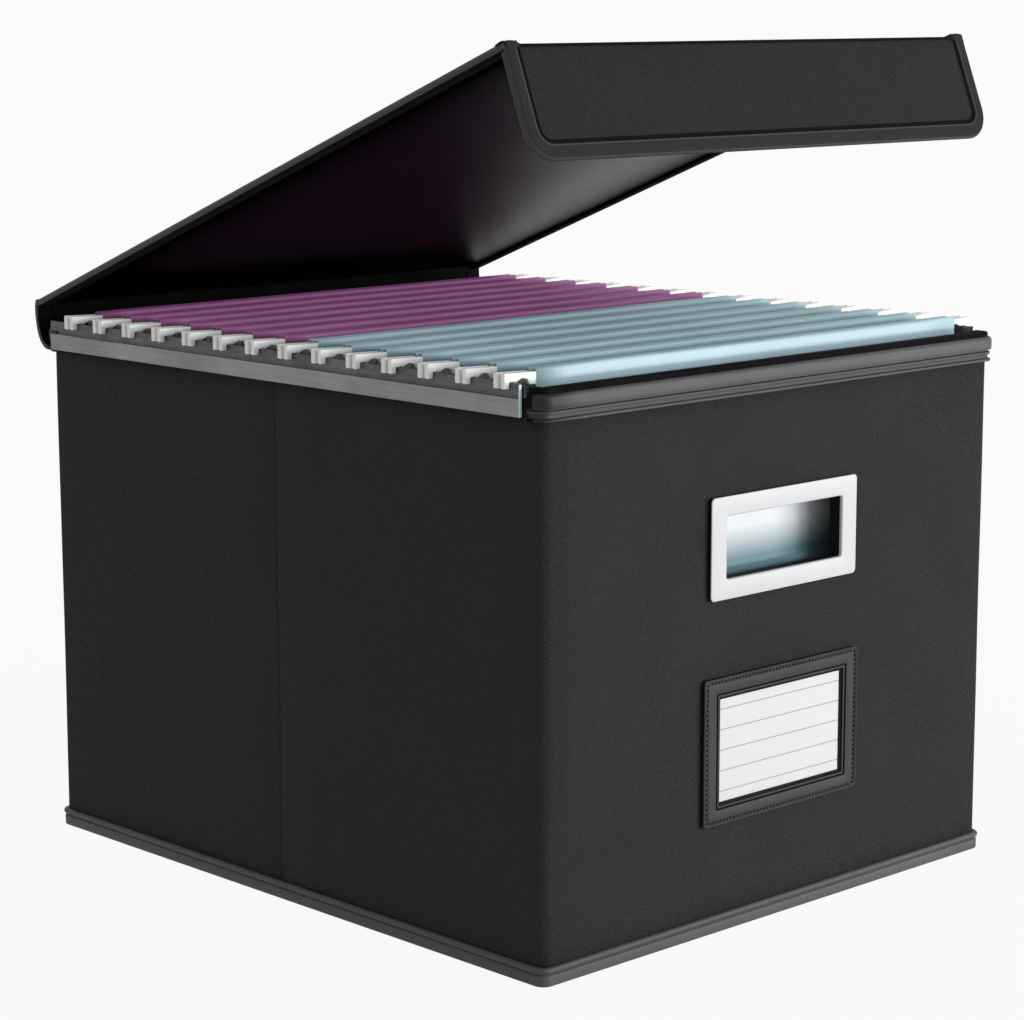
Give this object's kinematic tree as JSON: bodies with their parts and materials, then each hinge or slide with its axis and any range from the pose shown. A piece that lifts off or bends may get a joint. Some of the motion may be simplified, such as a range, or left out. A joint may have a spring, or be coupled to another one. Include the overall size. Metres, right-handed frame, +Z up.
{
  "type": "portable file box",
  "caption": "Fabric-covered file box with an open hinged lid and front flap, side rails carrying hanging folders, hand holes in both ends and a label holder.",
  "frame": {"origin": "middle of the underside, which lies on z = 0", "axes": "+X to the right along the front wall, +Y from the front wall to the back wall, +Z up"},
  "size_m": [0.3304, 0.3825, 0.4213],
  "materials": {
    "cover_fabric": "matt woven twill",
    "base_fabric": "matt woven",
    "lid_fabric": "matt woven twill",
    "flap_fabric": "matt woven twill",
    "hinge_fabric": "matt woven",
    "lining_fabric": "matt, dark",
    "binding_fabric": "ribbed tape with a slight sheen",
    "wall_board": "hardboard under a dark lining",
    "insert_board": "hardboard under a dark lining",
    "rail_plastic": "extruded, satin",
    "handle_plastic": "metallised, satin silver",
    "plate_plastic": "moulded, satin",
    "label_frame_leather": "embossed, matt",
    "card": "white card",
    "folder_blue": "light blue card, matt",
    "folder_purple": "purple card, matt",
    "hook_plastic": "white moulding on a steel strip"
  },
  "bodies": {
    "box": {"outer_cover": "cover_fabric", "base_cover": "base_fabric", "front_board": "wall_board", "back_board": "wall_board", "left_front_board": "wall_board", "left_rear_board": "wall_board", "right_front_board": "wall_board", "right_rear_board": "wall_board", "left_fold_tape": "lining_fabric", "right_fold_tape": "lining_fabric", "base_board": "wall_board", "base_insert": "insert_board", "base_binding": "binding_fabric", "front_rim_binding": "binding_fabric", "back_rim_binding": "binding_fabric", "left_rail": "rail_plastic", "right_rail": "rail_plastic", "front_handle": "handle_plastic", "front_handle_plate": "plate_plastic", "back_handle": "handle_plastic", "back_handle_plate": "plate_plastic", "label_holder": "label_frame_leather", "hinge_strip": "hinge_fabric"},
    "lid": {"lid_board": "lid_fabric", "lid_lining": "lining_fabric", "lid_side_bindings": "binding_fabric", "lid_back_strip": "hinge_fabric"},
    "flap": {"flap_board": "flap_fabric", "flap_binding": "binding_fabric"},
    "card": {"label_card": "card"},
    "folder_01": {"folder_01": "folder_blue", "folder_01_rods": "hook_plastic"},
    "folder_02": {"folder_02": "folder_blue", "folder_02_rods": "hook_plastic"},
    "folder_03": {"folder_03": "folder_blue", "folder_03_rods": "hook_plastic"},
    "folder_04": {"folder_04": "folder_blue", "folder_04_rods": "hook_plastic"},
    "folder_05": {"folder_05": "folder_blue", "folder_05_rods": "hook_plastic"},
    "folder_06": {"folder_06": "folder_blue", "folder_06_rods": "hook_plastic"},
    "folder_07": {"folder_07": "folder_blue", "folder_07_rods": "hook_plastic"},
    "folder_08": {"folder_08": "folder_purple", "folder_08_rods": "hook_plastic"},
    "folder_09": {"folder_09": "folder_purple", "folder_09_rods": "hook_plastic"},
    "folder_10": {"folder_10": "folder_purple", "folder_10_rods": "hook_plastic"},
    "folder_11": {"folder_11": "folder_purple", "folder_11_rods": "hook_plastic"},
    "folder_12": {"folder_12": "folder_purple", "folder_12_rods": "hook_plastic"},
    "folder_13": {"folder_13": "folder_purple", "folder_13_rods": "hook_plastic"},
    "folder_14": {"folder_14": "folder_purple", "folder_14_rods": "hook_plastic"}
  },
  "joints": [
    {"name": "lid_hinge", "type": "hinge", "parent": "box", "child": "lid", "pos_m": [0, 0.1889, 0.2715], "axis": [-1, 0, 0], "range_deg": [-21.1, 125]},
    {"name": "flap_hinge", "type": "hinge", "parent": "lid", "child": "flap", "pos_m": [0, -0.16144, 0.42164], "axis": [-1, 0, 0], "range_deg": [0, 88]},
    {"name": "card_slide", "type": "slide", "parent": "box", "child": "card", "axis": [1, 0, 0], "range_m": [0, 0.104]},
    {"name": "folder_01_slide", "type": "slide", "parent": "box", "child": "folder_01", "axis": [0, 1, 0], "range_m": [-0.0074, 0.0168]},
    {"name": "folder_02_slide", "type": "slide", "parent": "box", "child": "folder_02", "axis": [0, 1, 0], "range_m": [-0.0168, 0.0168]},
    {"name": "folder_03_slide", "type": "slide", "parent": "box", "child": "folder_03", "axis": [0, 1, 0], "range_m": [-0.0168, 0.0168]},
    {"name": "folder_04_slide", "type": "slide", "parent": "box", "child": "folder_04", "axis": [0, 1, 0], "range_m": [-0.0168, 0.0168]},
    {"name": "folder_05_slide", "type": "slide", "parent": "box", "child": "folder_05", "axis": [0, 1, 0], "range_m": [-0.0168, 0.0168]},
    {"name": "folder_06_slide", "type": "slide", "parent": "box", "child": "folder_06", "axis": [0, 1, 0], "range_m": [-0.0168, 0.0168]},
    {"name": "folder_07_slide", "type": "slide", "parent": "box", "child": "folder_07", "axis": [0, 1, 0], "range_m": [-0.0168, 0.0168]},
    {"name": "folder_08_slide", "type": "slide", "parent": "box", "child": "folder_08", "axis": [0, 1, 0], "range_m": [-0.0168, 0.0168]},
    {"name": "folder_09_slide", "type": "slide", "parent": "box", "child": "folder_09", "axis": [0, 1, 0], "range_m": [-0.0168, 0.0168]},
    {"name": "folder_10_slide", "type": "slide", "parent": "box", "child": "folder_10", "axis": [0, 1, 0], "range_m": [-0.0168, 0.0168]},
    {"name": "folder_11_slide", "type": "slide", "parent": "box", "child": "folder_11", "axis": [0, 1, 0], "range_m": [-0.0168, 0.0168]},
    {"name": "folder_12_slide", "type": "slide", "parent": "box", "child": "folder_12", "axis": [0, 1, 0], "range_m": [-0.0168, 0.0168]},
    {"name": "folder_13_slide", "type": "slide", "parent": "box", "child": "folder_13", "axis": [0, 1, 0], "range_m": [-0.0168, 0.0168]},
    {"name": "folder_14_slide", "type": "slide", "parent": "box", "child": "folder_14", "axis": [0, 1, 0], "range_m": [-0.0168, 0.0102]}
  ]
}
